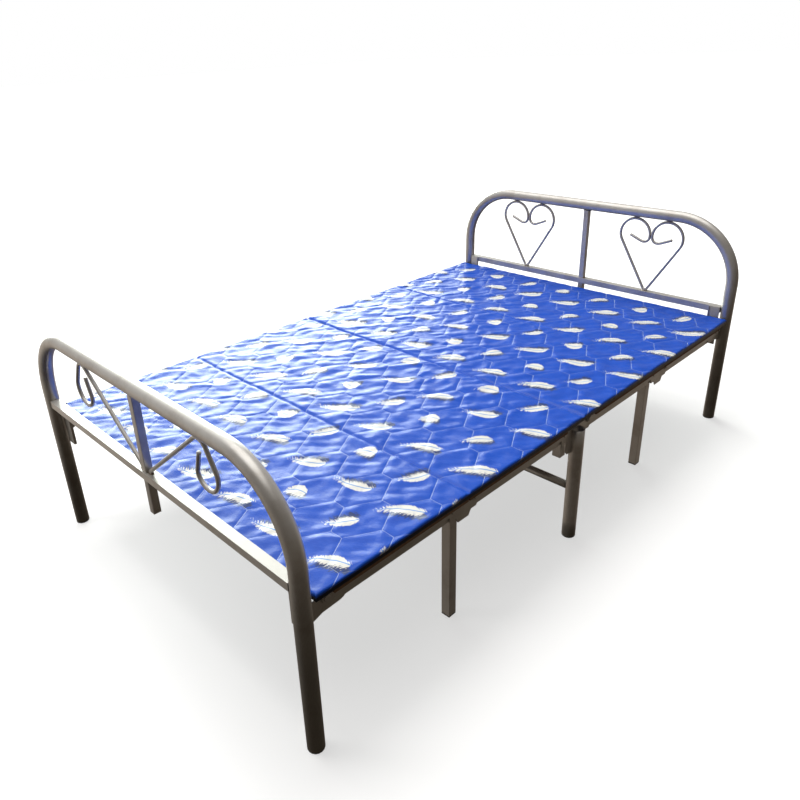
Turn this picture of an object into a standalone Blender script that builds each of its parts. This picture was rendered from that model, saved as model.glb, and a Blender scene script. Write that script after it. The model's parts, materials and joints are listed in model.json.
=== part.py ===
"""Four-section folding bed: tube end frames, two pairs of square legs, a middle stand and padded boards.

Metres, +Z up.  +X runs from the foot end to the head end, and +Y to the left of someone looking that way.
The origin is on the floor under the middle of the bed.  The bed lies open, which is its rest position.
"""
import math

import bmesh
import bpy
from mathutils import Matrix, Vector

# ---------------------------------------------------------------- driving dimensions
LENGTH = 1.880            # foot leg axis to head leg axis
WIDTH = 1.113             # near leg axis to far leg axis
TUBE_D = 0.038            # end frames and middle legs
TUBE_WALL = 0.0012
HEAD_TOP = 0.705          # axis of the head frame's top rail
FOOT_TOP = 0.637          # axis of the foot frame's top rail
HEAD_BEND = 0.205         # bend radius of the tube axis
FOOT_BEND = 0.188
CROSSBAR_Z = 0.411        # axis of the end frames' cross bars
CROSSBAR_DEEP = 0.025
CROSSBAR_TALL = 0.020
POST_W = 0.019            # square post in the middle of each end frame
POST_DROP = 0.095         # how far the lower post hangs under the cross bar
ROD_D = 0.010             # hearts and scrolls
HEART_INSET = 0.2985      # middle of each heart inside the round leg axis
SCROLL_INSET = 0.2885     # crown of each scroll inside the round leg axis
SQUARE_LEG = 0.025        # quarter legs and their cross bar
SQUARE_WALL = 0.0012
QUARTER_LEG_INSET = 0.0465   # quarter leg axis inside the round leg axis
HANGER_INSET = 0.0515     # short square hangers of the middle stand inside the round leg axis
STAND_HANGER_BOTTOM = 0.242
STAND_PLATE_BOTTOM = 0.276
BRACKET_GAP = 0.001       # corner brackets of an end frame, beside the round leg
BRACKET_WIDTH = 0.036
BRACKET_DEPTH = 0.007     # how far a bracket stands behind the cross bar
BRACKET_THICK = 0.0025
BRACKET_BOTTOM = 0.285

RAIL_Z = 0.3505           # height of the section pivots
RAIL_TALL = 0.023
RAIL_FLANGE = 0.025       # width of the rail's top flange
RAIL_WALL = 0.0025
FRAME_BAR_W = 0.022       # channels across and along a section frame
FRAME_BAR_TALL = 0.0135
FRAME_BAR_WALL = 0.0015
FRAME_BAR_SETBACK = 0.030    # from a section pivot to the nearer face of its cross channel
RAIL_FLANGE_SETBACK = 0.016  # from a section pivot to the start of the top flange
RAIL_INSET = 0.001        # rail face inside the leg axis
LINK_DROP = 0.022         # lower link pivots under the section pivots
LINK_TALL = 0.017
LINK_THICK = 0.003
PLATE_THICK = 0.003
SIDE_GAP = 0.0015         # running gap between rail, plate and link
PIVOT_END = 0.060         # round leg axis to section pivot
PIVOT_QUARTER = 0.040     # quarter leg axis to section pivot
PIN_D = 0.008
PIN_CLEARANCE = 0.0003
PIN_HEAD_D = 0.0145
PIN_HEAD_T = 0.0022
TOUCH = 0.0003            # gap between pieces that touch

BOARD_THICK = 0.009
PAD_THICK = 0.016
DECK_OVERHANG_SIDE = 0.0115  # deck past the round leg axis
DECK_OVERHANG_END = 0.028    # deck past the pivot beside an end frame
DECK_OVERHANG_MIDDLE = 0.045  # deck past the pivot beside the middle stand
DECK_OVERHANG_HANGER = 0.012  # the same, over the hangers
DECK_SETBACK_LEG = 0.010      # deck starts this far inside the pivot, over the side plates
DECK_GAP = 0.004              # between two decks over a quarter leg

STAND_BAR_Z = 0.160       # lower bar of the middle stand
STAND_BAR_D = 0.022
STAND_TOP_BAR_Z = 0.302   # upper bar of the middle stand
STAND_LEG_TOP = 0.345
PLUG_TALL = 0.024         # rubber plugs in the leg ends
PLUG_SOLE = 0.0045        # what shows of a plug under the tube
PLUG_EDGE = 0.0015        # rounding of the sole

ROUND_SIDES = 16
ROD_SIDES = 8
ARC_STEPS = 8

# ---------------------------------------------------------------- worked-out places
HALF_L = LENGTH / 2
HALF_W = WIDTH / 2
QUARTER_X = LENGTH / 4
TUBE_R = TUBE_D / 2
LINK_Z = RAIL_Z - LINK_DROP
QUARTER_LEG_Y = HALF_W - QUARTER_LEG_INSET
HANGER_Y = HALF_W - HANGER_INSET
DECK_HALF_WIDTH = HALF_W + DECK_OVERHANG_SIDE
RAIL_OUT = HALF_W - RAIL_INSET
RAIL_IN = RAIL_OUT - RAIL_WALL
PLATE_OUT = RAIL_IN - SIDE_GAP
PLATE_IN = PLATE_OUT - PLATE_THICK
LINK_OUT = PLATE_IN - SIDE_GAP
LINK_IN = LINK_OUT - LINK_THICK
PLATE_R = LINK_TALL / 2
PLATE_TOP = RAIL_Z + RAIL_TALL / 2 - RAIL_WALL - 0.002
PLATE_LOW = LINK_Z - PLATE_R
BOARD_Z = RAIL_Z + RAIL_TALL / 2 + TOUCH
PAD_Z = BOARD_Z + BOARD_THICK + TOUCH
LEG_START = PLUG_SOLE + TOUCH
BRACKET_OUT = HALF_W - TUBE_R - BRACKET_GAP
BRACKET_IN = BRACKET_OUT - BRACKET_WIDTH
HEART_Y = HALF_W - HEART_INSET
SCROLL_Y = HALF_W - SCROLL_INSET
HANGER_ZONE = HANGER_Y - SQUARE_LEG / 2 - 0.005
PLATE_ZONE = LINK_IN - 0.009
SIDES = {"near": -1, "far": 1}

BODIES = {}


# ---------------------------------------------------------------- helpers
def clear_scene():
    """Remove every object of the start-up scene."""
    for item in list(bpy.data.objects):
        bpy.data.objects.remove(item, do_unlink=True)


def material(name, colour, roughness, metallic=0.0):
    """A Principled material with one plain colour."""
    made = bpy.data.materials.new(name)
    made.use_nodes = True
    shader = made.node_tree.nodes["Principled BSDF"]
    shader.inputs["Base Color"].default_value = (*colour, 1.0)
    shader.inputs["Roughness"].default_value = roughness
    shader.inputs["Metallic"].default_value = metallic
    return made


def body(name, parent, origin):
    """An empty on the body's joint axis, parented in the order in which the sections hang together."""
    pivot = bpy.data.objects.new(name + "_axis", None)
    bpy.context.scene.collection.objects.link(pivot)
    origin = Vector(origin)
    if parent:
        pivot.parent = BODIES[parent][0]
        pivot.location = origin - BODIES[parent][1]
    else:
        pivot.location = origin
    BODIES[name] = (pivot, origin)


def finish(name, bm, group, look, smooth=True):
    """Write a bmesh made in world places to a named object under its body's empty."""
    pivot, origin = BODIES[group]
    bmesh.ops.recalc_face_normals(bm, faces=bm.faces)
    bmesh.ops.translate(bm, vec=-origin, verts=bm.verts)
    mesh = bpy.data.meshes.new(name)
    bm.to_mesh(mesh)
    bm.free()
    item = bpy.data.objects.new(name, mesh)
    bpy.context.scene.collection.objects.link(item)
    item.parent = pivot
    own_look = look.copy()
    own_look.name = name
    mesh.materials.append(own_look)
    if smooth:
        mesh.shade_smooth()
        mesh.set_sharp_from_angle(angle=math.radians(35))
    return item


def add_box(bm, low, high):
    """One closed box between two corners."""
    size = [b - a for a, b in zip(low, high)]
    centre = [(a + b) / 2 for a, b in zip(low, high)]
    place = Matrix.Translation(centre) @ Matrix.Diagonal((*size, 1.0))
    bmesh.ops.create_cube(bm, size=1.0, matrix=place)


def add_cylinder(bm, centre, axis, radius, length, sides=ROUND_SIDES):
    """One closed cylinder centred on a point."""
    turn = Vector((0, 0, 1)).rotation_difference(Vector(axis)).to_matrix().to_4x4()
    bmesh.ops.create_cone(
        bm, cap_ends=True, segments=sides, radius1=radius, radius2=radius, depth=length,
        matrix=Matrix.Translation(centre) @ turn)


def add_prism(bm, outline, y_low, y_high):
    """An outline of (x, z) points carried straight across from one y to another."""
    front = [bm.verts.new((x, y_low, z)) for x, z in outline]
    face = bm.faces.new(front)
    grown = bmesh.ops.extrude_face_region(bm, geom=[face])["geom"]
    moved = [g for g in grown if isinstance(g, bmesh.types.BMVert)]
    bmesh.ops.translate(bm, vec=(0, y_high - y_low, 0), verts=moved)


def guide(bm, name):
    """A hidden cutter object."""
    mesh = bpy.data.meshes.new(name)
    bmesh.ops.recalc_face_normals(bm, faces=bm.faces)
    bm.to_mesh(mesh)
    bm.free()
    item = bpy.data.objects.new(name, mesh)
    bpy.context.scene.collection.objects.link(item)
    item.hide_render = True
    item.display_type = "WIRE"
    return item


def boolean(item, group, operation, build):
    """Join or cut the item with solids that build(bm) makes in world places."""
    bm = bmesh.new()
    build(bm)
    bmesh.ops.translate(bm, vec=-BODIES[group][1], verts=bm.verts)
    cutter = guide(bm, item.name + "_" + operation.lower())
    cutter.parent = BODIES[group][0]
    step = item.modifiers.new(operation.title(), "BOOLEAN")
    step.operation = operation
    step.solver = "EXACT"
    step.object = cutter


def arc(centre, radius, start, end, steps=ARC_STEPS):
    """Points along an arc between two angles in degrees, ends included."""
    points = []
    for i in range(steps + 1):
        angle = math.radians(start + (end - start) * i / steps)
        points.append((centre[0] + radius * math.cos(angle), centre[1] + radius * math.sin(angle)))
    return points


def sweep(bm, x, path, radius, sides, wall=0.0):
    """Carry a round section along a path of (y, z) points in the plane at x; a wall makes it an open tube."""
    def rings(r):
        made = []
        for i, (y, z) in enumerate(path):
            before = Vector(path[max(i - 1, 0)])
            after = Vector(path[min(i + 1, len(path) - 1)])
            along = (after - before).normalized()
            inward = Vector((-along.y, along.x))
            ring = []
            for k in range(sides):
                angle = 2 * math.pi * k / sides
                shift = inward * (r * math.sin(angle))
                ring.append(bm.verts.new((x + r * math.cos(angle), y + shift.x, z + shift.y)))
            made.append(ring)
        return made

    def skin(made):
        for low, high in zip(made, made[1:]):
            for k in range(sides):
                j = (k + 1) % sides
                bm.faces.new((low[k], low[j], high[j], high[k]))

    outer = rings(radius)
    skin(outer)
    if not wall:
        bm.faces.new(outer[0])
        bm.faces.new(outer[-1])
        return
    inner = rings(radius - wall)
    skin(inner)
    for out_ring, in_ring in ((outer[0], inner[0]), (outer[-1], inner[-1])):
        for k in range(sides):
            j = (k + 1) % sides
            bm.faces.new((out_ring[k], out_ring[j], in_ring[j], in_ring[k]))


def add_square_tube(bm, low, high, along, wall=SQUARE_WALL):
    """A straight rectangular tube, open at both ends, between two corners; along is 0, 1 or 2."""
    a, b = [i for i in range(3) if i != along]

    def ring(level, inset):
        corners = ((low[a] + inset, low[b] + inset), (high[a] - inset, low[b] + inset),
                   (high[a] - inset, high[b] - inset), (low[a] + inset, high[b] - inset))
        made = []
        for first, second in corners:
            point = [0.0, 0.0, 0.0]
            point[along], point[a], point[b] = level, first, second
            made.append(bm.verts.new(point))
        return made

    loops = [ring(low[along], 0), ring(high[along], 0), ring(high[along], wall), ring(low[along], wall)]
    for one, two in zip(loops, loops[1:] + loops[:1]):
        for k in range(4):
            j = (k + 1) % 4
            bm.faces.new((one[k], one[j], two[j], two[k]))


# ---------------------------------------------------------------- feet
def round_cap(name, group, x, y, look):
    """A rubber plug in the end of a round leg: a sole as wide as the tube and a stem inside it."""
    stem = TUBE_R - TUBE_WALL - TOUCH
    profile = [(0, 0), (TUBE_R - PLUG_EDGE, 0), (TUBE_R, PLUG_EDGE), (TUBE_R, PLUG_SOLE),
               (stem, PLUG_SOLE), (stem, PLUG_TALL), (0, PLUG_TALL)]
    bm = bmesh.new()
    verts = [bm.verts.new((x + r, y, z)) for r, z in profile]
    edges = [bm.edges.new(pair) for pair in zip(verts, verts[1:])]
    bmesh.ops.spin(bm, geom=verts + edges, cent=(x, y, 0), axis=(0, 0, 1), angle=2 * math.pi,
                   steps=ROUND_SIDES, use_merge=True)
    bmesh.ops.remove_doubles(bm, verts=bm.verts, dist=0.00001)
    finish(name, bm, group, look)


def square_cap(name, group, x, y, look):
    """A rubber plug in the end of a square leg: the same sole and stem, with corners."""
    sole = SQUARE_LEG / 2
    stem = sole - SQUARE_WALL - TOUCH
    levels = ((sole - PLUG_EDGE, 0), (sole, PLUG_EDGE), (sole, PLUG_SOLE), (stem, PLUG_SOLE), (stem, PLUG_TALL))
    corners = ((-1, -1), (1, -1), (1, 1), (-1, 1))
    bm = bmesh.new()
    loops = [[bm.verts.new((x + half * u, y + half * v, z)) for u, v in corners] for half, z in levels]
    for one, two in zip(loops, loops[1:]):
        for k in range(4):
            j = (k + 1) % 4
            bm.faces.new((one[k], one[j], two[j], two[k]))
    bm.faces.new(loops[0])
    bm.faces.new(loops[-1])
    finish(name, bm, group, look)


# ---------------------------------------------------------------- side plates, rails and links
def side_plate(name, group, side, outline, pivots, look):
    """A flat plate in the plane between rail and link, with the pins of the given pivots."""
    bm = bmesh.new()
    low, high = sorted((side * PLATE_IN, side * PLATE_OUT))
    add_prism(bm, outline, low, high)
    item = finish(name, bm, group, look)
    for k, x in enumerate(pivots):
        for rail_pin in (True, False):
            boolean(item, group, "UNION", lambda add, x=x, rail_pin=rail_pin: one_pin(add, x, side, rail_pin))
    return item


def one_pin(bm, x, side, rail_pin):
    """One turned pin and head as a single stepped solid."""
    overlap = 0.001
    if rail_pin:
        levels = (PLATE_OUT - overlap, RAIL_OUT + TOUCH, RAIL_OUT + TOUCH + PIN_HEAD_T)
        z = RAIL_Z
    else:
        levels = (PLATE_IN + overlap, LINK_IN - TOUCH, LINK_IN - TOUCH - PIN_HEAD_T)
        z = LINK_Z
    root, seat, top = (side * level for level in levels)
    stations = ((root, PIN_D / 2), (seat, PIN_D / 2), (seat, PIN_HEAD_D / 2), (top, PIN_HEAD_D / 2))
    loops = []
    for y, radius in stations:
        loop = []
        for k in range(12):
            angle = 2 * math.pi * k / 12
            loop.append(bm.verts.new((x + radius * math.cos(angle), y, z + radius * math.sin(angle))))
        loops.append(loop)
    for one, two in zip(loops, loops[1:]):
        for k in range(12):
            j = (k + 1) % 12
            bm.faces.new((one[k], one[j], two[j], two[k]))
    bm.faces.new(loops[0])
    bm.faces.new(loops[-1])


def end_plate_outline(leg_x, inward):
    """Gusset of an end frame: from the leg to past the pivot; inward is +1 at the foot and -1 at the head."""
    start = TUBE_R - 0.0003
    pivot = PIVOT_END
    nose = arc((pivot + 0.036, (PLATE_TOP + PLATE_LOW) / 2), (PLATE_TOP - PLATE_LOW) / 2, -90, 90, 6)
    points = [(start, PLATE_LOW - 0.012), (pivot - 0.010, PLATE_LOW - 0.002)] + nose + [(start, PLATE_TOP)]
    return [(leg_x + inward * x, z) for x, z in points]


def stand_plate_outline():
    """Saddle plate of the middle stand, notched over the leg."""
    notch = TUBE_R - 0.0003
    wing = notch + 0.025
    tail = STAND_PLATE_BOTTOM
    end = PIVOT_END + PLATE_R
    right = [(notch, tail), (wing - 0.006, tail + 0.004), (wing, tail + 0.012), (wing, PLATE_LOW),
             (end - 0.003, PLATE_LOW), (end, PLATE_LOW + 0.003), (end, PLATE_TOP - 0.003),
             (end - 0.003, PLATE_TOP)]
    left = [(-x, z) for x, z in reversed(right)]
    top_of_notch = STAND_LEG_TOP + 0.001
    return [(notch, top_of_notch)] + right + left + [(-notch, top_of_notch)]


def quarter_plate_outline(leg_x):
    """Plate across the top of a quarter leg, under both section pivots."""
    end = PIVOT_QUARTER + PLATE_R
    half = SQUARE_LEG / 2 + 0.006
    drop = PLATE_LOW - 0.014
    right = [(half, drop), (half + 0.008, PLATE_LOW), (end - 0.003, PLATE_LOW), (end, PLATE_LOW + 0.003),
             (end, PLATE_TOP - 0.003), (end - 0.003, PLATE_TOP)]
    left = [(-x, z) for x, z in reversed(right)]
    return [(leg_x + x, z) for x, z in right + left]


def stadium(x_a, x_b, z, radius):
    """Outline of a bar with round ends from one pivot to another."""
    return arc((x_b, z), radius, -90, 90, 6) + arc((x_a, z), radius, 90, 270, 6)


def link(name, group, side, x_a, x_b, look):
    """Flat lower link bar with a hole at each end."""
    bm = bmesh.new()
    low, high = sorted((side * LINK_IN, side * LINK_OUT))
    add_prism(bm, stadium(min(x_a, x_b), max(x_a, x_b), LINK_Z, LINK_TALL / 2), low, high)
    item = finish(name, bm, group, look)
    for x in (x_a, x_b):
        boolean(item, group, "DIFFERENCE", lambda cut, x=x: add_cylinder(
            cut, (x, side * (LINK_IN + LINK_OUT) / 2, LINK_Z), (0, 1, 0), PIN_D / 2 + PIN_CLEARANCE, 0.02, 12))


# ---------------------------------------------------------------- sections
def section_frame(name, group, x_end, x_quarter, look):
    """Two angle rails, two cross bars and a middle bar, welded to one ladder frame."""
    low_x, high_x = sorted((x_end, x_quarter))
    top = RAIL_Z + RAIL_TALL / 2
    flange_from, flange_to = low_x + RAIL_FLANGE_SETBACK, high_x - RAIL_FLANGE_SETBACK
    bar_from, bar_to = low_x + FRAME_BAR_SETBACK, high_x - FRAME_BAR_SETBACK
    bar_low = top - FRAME_BAR_TALL
    bar_half = RAIL_OUT - RAIL_FLANGE + 0.002
    inner_from, inner_to = bar_from + FRAME_BAR_W, bar_to - FRAME_BAR_W
    wall = FRAME_BAR_WALL
    web_low = top - max(wall, RAIL_WALL) - 0.0003
    bm = bmesh.new()
    add_box(bm, (bar_from, -bar_half, bar_low), (inner_from, bar_half, top))
    item = finish(name, bm, group, look)
    boolean(item, group, "UNION", lambda add: add_box(
        add, (inner_to, -bar_half, bar_low), (bar_to, bar_half, top)))
    boolean(item, group, "UNION", lambda add: add_box(
        add, (inner_from - wall * 0.6, -FRAME_BAR_W / 2, bar_low + 0.001),
        (inner_to + wall * 0.6, FRAME_BAR_W / 2, top - 0.001)))
    for start in (bar_from, inner_to):
        boolean(item, group, "DIFFERENCE", lambda cut, start=start: add_box(
            cut, (start + wall, -bar_half - 0.01, bar_low - 0.01),
            (start + FRAME_BAR_W - wall, bar_half + 0.01, web_low)))
    boolean(item, group, "DIFFERENCE", lambda cut: add_box(
        cut, (inner_from + 0.0005, -FRAME_BAR_W / 2 + wall, bar_low - 0.01),
        (inner_to - 0.0005, FRAME_BAR_W / 2 - wall, web_low - 0.001)))
    for side in SIDES.values():
        flange_y = sorted((side * RAIL_OUT, side * (RAIL_OUT - RAIL_FLANGE)))
        boolean(item, group, "UNION", lambda add, flange_y=flange_y: add_box(
            add, (flange_from, flange_y[0], top - RAIL_WALL), (flange_to, flange_y[1], top)))
        web_y = sorted((side * RAIL_OUT, side * RAIL_IN))
        boolean(item, group, "UNION", lambda add, web_y=web_y: add_prism(
            add, stadium(low_x, high_x, RAIL_Z, RAIL_TALL / 2), web_y[0], web_y[1]))
        for x in (low_x, high_x):
            boolean(item, group, "DIFFERENCE", lambda cut, x=x, side=side: add_cylinder(
                cut, (x, side * (RAIL_OUT + RAIL_IN) / 2, RAIL_Z), (0, 1, 0),
                PIN_D / 2 + PIN_CLEARANCE, 0.02, 12))


def deck_outline(x_pivot, inward, x_edge, overhang):
    """Plan of a section's board and pad, stepped back beside hangers, plates and legs."""
    def at(step):
        return x_pivot + inward * step

    half = DECK_HALF_WIDTH
    near = [(x_edge, -half), (at(DECK_SETBACK_LEG), -half), (at(DECK_SETBACK_LEG), -PLATE_ZONE),
            (at(-DECK_OVERHANG_HANGER), -PLATE_ZONE), (at(-DECK_OVERHANG_HANGER), -HANGER_ZONE),
            (at(-overhang), -HANGER_ZONE)]
    return near + [(x, -y) for x, y in reversed(near)]


def deck(name, group, outline, z_low, z_high, look, edge_round):
    """A flat slab of the deck plan."""
    bm = bmesh.new()
    base = [bm.verts.new((x, y, z_low)) for x, y in outline]
    face = bm.faces.new(base)
    grown = bmesh.ops.extrude_face_region(bm, geom=[face])["geom"]
    moved = [g for g in grown if isinstance(g, bmesh.types.BMVert)]
    bmesh.ops.translate(bm, vec=(0, 0, z_high - z_low), verts=moved)
    item = finish(name, bm, group, look)
    soften = item.modifiers.new("Edge", "BEVEL")
    soften.width = edge_round
    soften.segments = 2
    soften.limit_method = "ANGLE"
    soften.angle_limit = math.radians(50)


def build_section(number, sign, looks):
    """Section 1 to 4 from the foot; sign is -1 on the foot half and +1 on the head half."""
    group = f"section_{number}"
    outer = number in (1, 4)
    x_quarter_pivot = sign * (QUARTER_X + (PIVOT_QUARTER if outer else -PIVOT_QUARTER))
    x_pivot = sign * (HALF_L - PIVOT_END) if outer else sign * PIVOT_END
    toward_quarter = math.copysign(1, x_quarter_pivot - x_pivot)
    x_edge = sign * QUARTER_X - toward_quarter * DECK_GAP / 2
    overhang = DECK_OVERHANG_END if outer else DECK_OVERHANG_MIDDLE
    section_frame(f"{group}_frame", group, x_pivot, x_quarter_pivot, looks["silver"])
    outline = deck_outline(x_pivot, toward_quarter, x_edge, overhang)
    deck(f"{group}_board", group, outline, BOARD_Z, BOARD_Z + BOARD_THICK, looks["board"], 0.001)
    deck(f"{group}_pad", group, outline, PAD_Z, PAD_Z + PAD_THICK, looks["pad"], 0.004)
    for side_name, side in SIDES.items():
        link(f"link_{number}_{side_name}", f"link_{number}", side, x_pivot, x_quarter_pivot, looks["silver"])


# ---------------------------------------------------------------- leg frames
def bowed_frame_path(top, bend):
    """Axis of an end frame's tube: up one leg, over the top and down the other, as (y, z) points."""
    centre = HALF_W - bend
    left = arc((-centre, top - bend), bend, 180, 90)
    right = arc((centre, top - bend), bend, 90, 0)
    return [(-HALF_W, LEG_START)] + left + right + [(HALF_W, LEG_START)]


def crossbar(name, group, x, z, deep, tall, half, look):
    """Rectangular cross tube, open at both ends."""
    wall = SQUARE_WALL
    bm = bmesh.new()
    add_box(bm, (x - deep / 2, -half, z - tall / 2), (x + deep / 2, half, z + tall / 2))
    item = finish(name, bm, group, look)
    boolean(item, group, "DIFFERENCE", lambda cut: add_box(
        cut, (x - deep / 2 + wall, -half - 0.01, z - tall / 2 + wall),
        (x + deep / 2 - wall, half + 0.01, z + tall / 2 - wall)))
    return item


def add_hanger(item, group, x, y, width, low, bar_bottom):
    """Weld a short square tube under a cross bar, open at its lower end."""
    half = width / 2
    bore = half - SQUARE_WALL
    boolean(item, group, "UNION", lambda add: add_box(
        add, (x - half, y - half, low), (x + half, y + half, bar_bottom + SQUARE_WALL / 2)))
    boolean(item, group, "DIFFERENCE", lambda cut: add_box(
        cut, (x - bore, y - bore, low - 0.01), (x + bore, y + bore, bar_bottom - SQUARE_WALL)))


def add_bracket(item, group, x_bar, inward, side):
    """Weld an angle-shaped bracket on the back of an end frame's cross bar, beside the leg."""
    back = x_bar + inward * CROSSBAR_DEEP / 2
    x_low, x_high = sorted((back - inward * SQUARE_WALL / 2, back + inward * BRACKET_THICK))
    y_low, y_high = sorted((side * BRACKET_OUT, side * BRACKET_IN))
    top = CROSSBAR_Z + CROSSBAR_TALL / 2 - SQUARE_WALL
    boolean(item, group, "UNION", lambda add: add_box(
        add, (x_low, y_low, BRACKET_BOTTOM), (x_high, y_high, top)))
    x_low, x_high = sorted((back + inward * BRACKET_THICK / 2, back + inward * BRACKET_DEPTH))
    y_low, y_high = sorted((side * BRACKET_IN, side * (BRACKET_IN + BRACKET_THICK)))
    boolean(item, group, "UNION", lambda add: add_box(
        add, (x_low, y_low, BRACKET_BOTTOM), (x_high, y_high, top)))


def rod(name, group, x, path, look):
    """A solid bent rod."""
    bm = bmesh.new()
    sweep(bm, x, path, ROD_D / 2, ROD_SIDES)
    finish(name, bm, group, look)


def heart_half(tip_z, top_z):
    """Right half of a heart as (offset, z): from the tip, over the lobe and into the curl."""
    lobe_r = 0.056
    lobe = (0.060, top_z - lobe_r)
    curl_r = 0.021
    curl = (lobe[0] - lobe_r + curl_r, lobe[1] - 0.004)
    over = arc(lobe, lobe_r, -22, 180, 12)
    under = arc(curl, curl_r, 180, 290, 6)
    end = (curl[0] + 0.052, curl[1] - 0.001)
    return [(0.0055, tip_z)] + over + under + [end]


def build_hearts(x, look):
    """Two heart-shaped rods in the head frame, each bent from one length whose halves meet at the tip."""
    tip_z = CROSSBAR_Z + CROSSBAR_TALL / 2 + ROD_D / 2 + TOUCH
    top_z = HEAD_TOP - TUBE_R - ROD_D / 2 - TOUCH
    half = heart_half(tip_z, top_z)
    for side_name, side in SIDES.items():
        left = [(side * HEART_Y - u, z) for u, z in reversed(half)]
        right = [(side * HEART_Y + u, z) for u, z in half]
        rod(f"head_heart_{side_name}", "head_frame", x, left + right, look)


def build_scrolls(x, look):
    """Two scrolled rods in the foot frame, rising from the foot of the post and curling outwards."""
    base_z = CROSSBAR_Z + CROSSBAR_TALL / 2 + ROD_D / 2 + TOUCH
    top_z = FOOT_TOP - TUBE_R - ROD_D / 2 - TOUCH
    crown = arc((SCROLL_Y, top_z - 0.030), 0.030, 140, 50, 6)
    hook = arc((SCROLL_Y + 0.013, top_z - 0.076), 0.041, 14, -158, 10)
    path = [(POST_W / 2 + 0.0075, base_z)] + crown + hook + [(SCROLL_Y - 0.006, top_z - 0.036)]
    for side_name, side in SIDES.items():
        rod(f"foot_scroll_{side_name}", "foot_frame", x, [(side * y, z) for y, z in path], look)


def build_end_frame(prefix, sign, top, bend, looks):
    """Head or foot frame: bowed tube, cross bar, posts, side plates and feet."""
    group = f"{prefix}_frame"
    x = sign * HALF_L
    silver = looks["silver"]
    bm = bmesh.new()
    sweep(bm, x, bowed_frame_path(top, bend), TUBE_R, ROUND_SIDES, TUBE_WALL)
    finish(f"{prefix}_frame_tube", bm, group, silver)
    bar_bottom = CROSSBAR_Z - CROSSBAR_TALL / 2
    bar = crossbar(f"{prefix}_crossbar", group, x, CROSSBAR_Z, CROSSBAR_DEEP, CROSSBAR_TALL,
                   HALF_W - TUBE_R - TOUCH, silver)
    add_hanger(bar, group, x, 0, POST_W, bar_bottom - POST_DROP, bar_bottom)
    for side in SIDES.values():
        add_bracket(bar, group, x, -sign, side)
    bm = bmesh.new()
    half = POST_W / 2
    add_square_tube(bm, (x - half, -half, CROSSBAR_Z + CROSSBAR_TALL / 2 + TOUCH),
                    (x + half, half, top - TUBE_R - TOUCH), 2)
    finish(f"{prefix}_post", bm, group, silver)
    for side_name, side in SIDES.items():
        side_plate(f"{prefix}_plate_{side_name}", group, side, end_plate_outline(x, -sign),
                   (x - sign * PIVOT_END,), silver)
        round_cap(f"{prefix}_cap_{side_name}", group, x, side * HALF_W, looks["rubber"])


def build_middle_stand(looks):
    """Two round legs, two bars, saddle plates and feet."""
    group = "middle_stand"
    silver = looks["silver"]
    for side_name, side in SIDES.items():
        bm = bmesh.new()
        y = side * HALF_W
        rings = [(TUBE_R, LEG_START), (TUBE_R, STAND_LEG_TOP),
                 (TUBE_R - TUBE_WALL, STAND_LEG_TOP), (TUBE_R - TUBE_WALL, LEG_START)]
        loops = []
        for radius, z in rings:
            loops.append([bm.verts.new((radius * math.cos(2 * math.pi * k / ROUND_SIDES),
                                        y + radius * math.sin(2 * math.pi * k / ROUND_SIDES), z))
                          for k in range(ROUND_SIDES)])
        for one, two in zip(loops, loops[1:] + loops[:1]):
            for k in range(ROUND_SIDES):
                j = (k + 1) % ROUND_SIDES
                bm.faces.new((one[k], one[j], two[j], two[k]))
        finish(f"stand_leg_{side_name}", bm, group, silver)
        side_plate(f"stand_plate_{side_name}", group, side, stand_plate_outline(),
                   (-PIVOT_END, PIVOT_END), silver)
        round_cap(f"stand_cap_{side_name}", group, 0, y, looks["rubber"])
    bar = crossbar("stand_top_bar", group, 0, STAND_TOP_BAR_Z, SQUARE_LEG, SQUARE_LEG,
                   HALF_W - TUBE_R - TOUCH, silver)
    for y in (-HANGER_Y, HANGER_Y):
        add_hanger(bar, group, 0, y, SQUARE_LEG, STAND_HANGER_BOTTOM, STAND_TOP_BAR_Z - SQUARE_LEG / 2)
    bm = bmesh.new()
    length = 2 * (HALF_W - TUBE_R - TOUCH)
    add_cylinder(bm, (0, 0, STAND_BAR_Z), (0, 1, 0), STAND_BAR_D / 2, length, 12)
    item = finish("stand_low_bar", bm, group, silver)
    boolean(item, group, "DIFFERENCE", lambda cut: add_cylinder(
        cut, (0, 0, STAND_BAR_Z), (0, 1, 0), STAND_BAR_D / 2 - TUBE_WALL, length + 0.02, 12))


def build_quarter_legs(name, sign, looks):
    """A pair of square legs with the cross bar that joins them and a plate on each end of it."""
    group = f"quarter_legs_{name}"
    x = sign * QUARTER_X
    half = SQUARE_LEG / 2
    bar_z = (PLATE_TOP + PLATE_LOW) / 2 - 0.006
    silver = looks["silver"]
    bm = bmesh.new()
    reach = PLATE_IN - TOUCH
    add_square_tube(bm, (x - half, -reach, bar_z - half), (x + half, reach, bar_z + half), 1)
    finish(f"quarter_bar_{name}", bm, group, silver)
    for side_name, side in SIDES.items():
        y = side * QUARTER_LEG_Y
        bm = bmesh.new()
        add_square_tube(bm, (x - half, y - half, LEG_START), (x + half, y + half, bar_z - half - TOUCH), 2)
        finish(f"quarter_leg_{name}_{side_name}", bm, group, silver)
        side_plate(f"quarter_plate_{name}_{side_name}", group, side, quarter_plate_outline(x),
                   (x - PIVOT_QUARTER, x + PIVOT_QUARTER), silver)
        square_cap(f"quarter_cap_{name}_{side_name}", group, x, y, looks["rubber"])


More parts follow.
